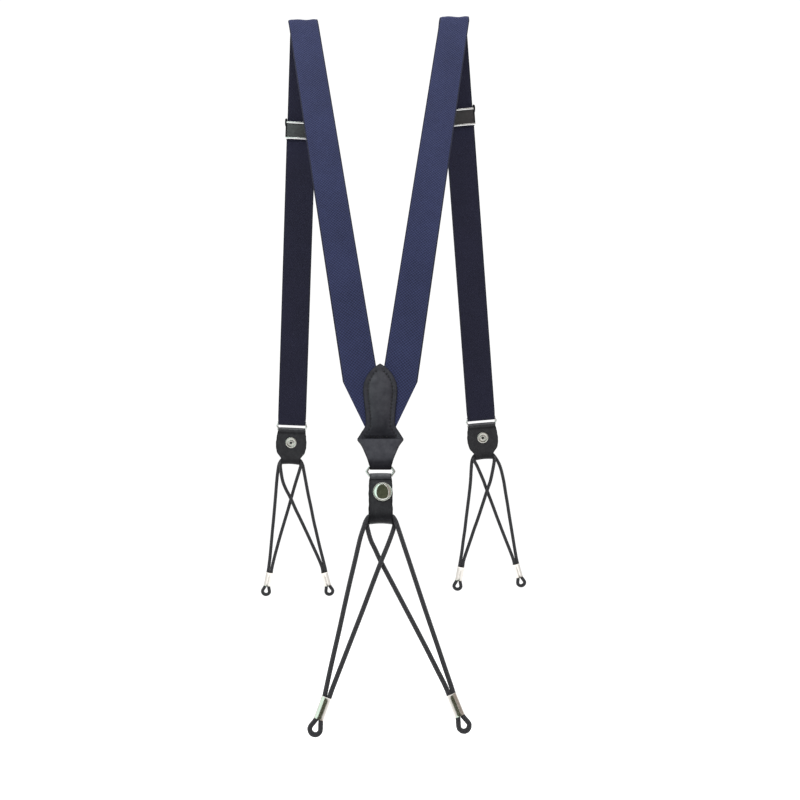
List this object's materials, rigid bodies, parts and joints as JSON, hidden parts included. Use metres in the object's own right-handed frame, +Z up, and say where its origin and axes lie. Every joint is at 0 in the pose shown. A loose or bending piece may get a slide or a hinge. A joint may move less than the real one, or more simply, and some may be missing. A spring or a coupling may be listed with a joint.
{
  "type": "button-on suspenders",
  "caption": "Elastic shoulder straps joined by a leather yoke, with sliding adjusters and snapped leather tabs whose cord loops button to trousers.",
  "frame": {"origin": "midway between the two shoulder bends, level with the surface they rest on", "axes": "+Z up, +X to the wearer's right, +Y to the wearer's front"},
  "size_m": [0.2472, 0.2399, 0.5288],
  "materials": {
    "webbing": "elastic twill webbing, matt",
    "leather": "smooth black leather, soft sheen",
    "thread": "waxed thread",
    "cord": "braided cord, matt",
    "ferrule": "crimped, bright",
    "ring_wire": "nickel plated wire",
    "snap_chrome": "mirror polished",
    "snap_nickel": "satin nickel",
    "adjuster_metal": "bright nickel",
    "black_plate": "black lacquer, satin"
  },
  "bodies": {
    "root": {"left_shoulder_webbing": "webbing", "right_shoulder_webbing": "webbing", "left_front_webbing": "webbing", "right_front_webbing": "webbing", "yoke_front": "leather", "yoke_back": "leather", "yoke_stitching": "thread"},
    "left_strap_end": {"left_webbing_bight": "webbing", "left_return_webbing": "webbing"},
    "left_adjuster": {"left_adjuster_frame": "adjuster_metal", "left_adjuster_plate": "black_plate", "left_adjuster_pin": "adjuster_metal"},
    "left_adjuster_lever": {"left_adjuster_lever": "adjuster_metal"},
    "right_strap_end": {"right_webbing_bight": "webbing", "right_return_webbing": "webbing"},
    "right_adjuster": {"right_adjuster_frame": "adjuster_metal", "right_adjuster_plate": "black_plate", "right_adjuster_pin": "adjuster_metal"},
    "right_adjuster_lever": {"right_adjuster_lever": "adjuster_metal"},
    "rear_ring": {"rear_ring": "ring_wire"},
    "rear_tab": {"rear_tab": "leather", "rear_snap_stud": "snap_nickel", "rear_snap_post": "snap_nickel", "rear_left_cord": "cord", "rear_right_cord": "cord"},
    "rear_flap": {"rear_flap": "leather", "rear_snap_cap": "snap_chrome", "rear_snap_socket": "snap_nickel"},
    "rear_left_cord_end": {"rear_left_ferrule": "ferrule", "rear_left_button_loop": "cord"},
    "rear_right_cord_end": {"rear_right_ferrule": "ferrule", "rear_right_button_loop": "cord"},
    "front_left_ring": {"front_left_ring": "ring_wire"},
    "front_left_tab": {"front_left_tab": "leather", "front_left_snap_stud": "snap_nickel", "front_left_snap_post": "snap_nickel", "front_left_outer_cord": "cord", "front_left_inner_cord": "cord"},
    "front_left_flap": {"front_left_flap": "leather", "front_left_snap_cap": "snap_chrome", "front_left_snap_socket": "snap_nickel"},
    "front_left_outer_cord_end": {"front_left_outer_ferrule": "ferrule", "front_left_outer_button_loop": "cord"},
    "front_left_inner_cord_end": {"front_left_inner_ferrule": "ferrule", "front_left_inner_button_loop": "cord"},
    "front_right_ring": {"front_right_ring": "ring_wire"},
    "front_right_tab": {"front_right_tab": "leather", "front_right_snap_stud": "snap_nickel", "front_right_snap_post": "snap_nickel", "front_right_outer_cord": "cord", "front_right_inner_cord": "cord"},
    "front_right_flap": {"front_right_flap": "leather", "front_right_snap_cap": "snap_chrome", "front_right_snap_socket": "snap_nickel"},
    "front_right_outer_cord_end": {"front_right_outer_ferrule": "ferrule", "front_right_outer_button_loop": "cord"},
    "front_right_inner_cord_end": {"front_right_inner_ferrule": "ferrule", "front_right_inner_button_loop": "cord"}
  },
  "joints": [
    {"name": "left_brace_length", "type": "slide", "parent": "root", "child": "left_strap_end", "axis": [-0.0419, 0.0906, -0.995], "range_m": [-0.012, 0.06], "deforming": ["left_front_webbing"]},
    {"name": "left_adjuster_slide", "type": "slide", "parent": "left_strap_end", "child": "left_adjuster", "axis": [-0.0419, 0.0906, -0.995], "range_m": [-0.012, 0.06], "deforming": ["left_return_webbing"]},
    {"name": "left_lever_hinge", "type": "hinge", "parent": "left_adjuster", "child": "left_adjuster_lever", "pos_m": [-0.06754, 0.01778, -0.08564], "axis": [0.9991, 0.0038, -0.0417], "range_deg": [0, 75]},
    {"name": "right_brace_length", "type": "slide", "parent": "root", "child": "right_strap_end", "axis": [0.0863, 0.0903, -0.9922], "range_m": [-0.012, 0.06], "deforming": ["right_front_webbing"]},
    {"name": "right_adjuster_slide", "type": "slide", "parent": "right_strap_end", "child": "right_adjuster", "axis": [0.0863, 0.0903, -0.9922], "range_m": [-0.012, 0.06], "deforming": ["right_return_webbing"]},
    {"name": "right_lever_hinge", "type": "hinge", "parent": "right_adjuster", "child": "right_adjuster_lever", "pos_m": [0.07014, 0.01677, -0.0745], "axis": [0.9963, -0.0078, 0.0859], "range_deg": [0, 75]},
    {"name": "rear_ring_hinge", "type": "hinge", "parent": "root", "child": "rear_ring", "pos_m": [0, -0.13099, -0.37134], "axis": [1, 0, 0], "range_deg": [-50, 20]},
    {"name": "rear_tab_hinge", "type": "hinge", "parent": "rear_ring", "child": "rear_tab", "pos_m": [0, -0.13319, -0.37788], "axis": [1, 0, 0], "range_deg": [-50, 20]},
    {"name": "rear_flap_hinge", "type": "hinge", "parent": "rear_tab", "child": "rear_flap", "pos_m": [0, -0.14541, -0.40041], "axis": [1, 0, 0], "range_deg": [0, 120]},
    {"name": "rear_left_cord_swing", "type": "hinge", "parent": "rear_tab", "child": "rear_left_cord_end", "pos_m": [0, -0.14297, -0.40381], "axis": [0, 0.9478, -0.319], "range_deg": [-8, 18], "deforming": ["rear_left_cord"]},
    {"name": "rear_right_cord_swing", "type": "hinge", "parent": "rear_tab", "child": "rear_right_cord_end", "pos_m": [0, -0.14297, -0.40381], "axis": [0, -0.9478, 0.319], "range_deg": [-8, 18], "deforming": ["rear_right_cord"]},
    {"name": "front_left_ring_hinge", "type": "hinge", "parent": "left_strap_end", "child": "front_left_ring", "pos_m": [-0.07854, 0.03724, -0.34742], "axis": [-0.9991, -0.0038, 0.0417], "range_deg": [-50, 20]},
    {"name": "front_left_tab_hinge", "type": "hinge", "parent": "front_left_ring", "child": "front_left_tab", "pos_m": [-0.07883, 0.03786, -0.35429], "axis": [-0.9991, -0.0038, 0.0417], "range_deg": [-50, 20]},
    {"name": "front_left_flap_hinge", "type": "hinge", "parent": "front_left_tab", "child": "front_left_flap", "pos_m": [-0.07989, 0.04453, -0.37902], "axis": [-0.9991, -0.0038, 0.0417], "range_deg": [0, 120]},
    {"name": "front_left_outer_cord_swing", "type": "hinge", "parent": "front_left_tab", "child": "front_left_outer_cord_end", "pos_m": [-0.07999, 0.04137, -0.38176], "axis": [0, 0.9959, 0.0906], "range_deg": [-8, 18], "deforming": ["front_left_outer_cord"]},
    {"name": "front_left_inner_cord_swing", "type": "hinge", "parent": "front_left_tab", "child": "front_left_inner_cord_end", "pos_m": [-0.07999, 0.04137, -0.38176], "axis": [0, -0.9959, -0.0906], "range_deg": [-8, 18], "deforming": ["front_left_inner_cord"]},
    {"name": "front_right_ring_hinge", "type": "hinge", "parent": "right_strap_end", "child": "front_right_ring", "pos_m": [0.09345, 0.03683, -0.34298], "axis": [-0.9963, 0.0078, -0.0859], "range_deg": [-50, 20]},
    {"name": "front_right_tab_hinge", "type": "hinge", "parent": "front_right_ring", "child": "front_right_tab", "pos_m": [0.09405, 0.03746, -0.34982], "axis": [-0.9963, 0.0078, -0.0859], "range_deg": [-50, 20]},
    {"name": "front_right_flap_hinge", "type": "hinge", "parent": "front_right_tab", "child": "front_right_flap", "pos_m": [0.09623, 0.04412, -0.37448], "axis": [-0.9963, 0.0078, -0.0859], "range_deg": [0, 120]},
    {"name": "front_right_outer_cord_swing", "type": "hinge", "parent": "front_right_tab", "child": "front_right_outer_cord_end", "pos_m": [0.09644, 0.04095, -0.37722], "axis": [0, -0.9959, -0.0906], "range_deg": [-8, 18], "deforming": ["front_right_outer_cord"]},
    {"name": "front_right_inner_cord_swing", "type": "hinge", "parent": "front_right_tab", "child": "front_right_inner_cord_end", "pos_m": [0.09644, 0.04095, -0.37722], "axis": [0, 0.9959, 0.0906], "range_deg": [-8, 18], "deforming": ["front_right_inner_cord"]}
  ],
  "couplings": [
    {"joint": "left_adjuster_slide", "follows": "left_brace_length", "ratio": 1},
    {"joint": "right_adjuster_slide", "follows": "right_brace_length", "ratio": 1}
  ]
}
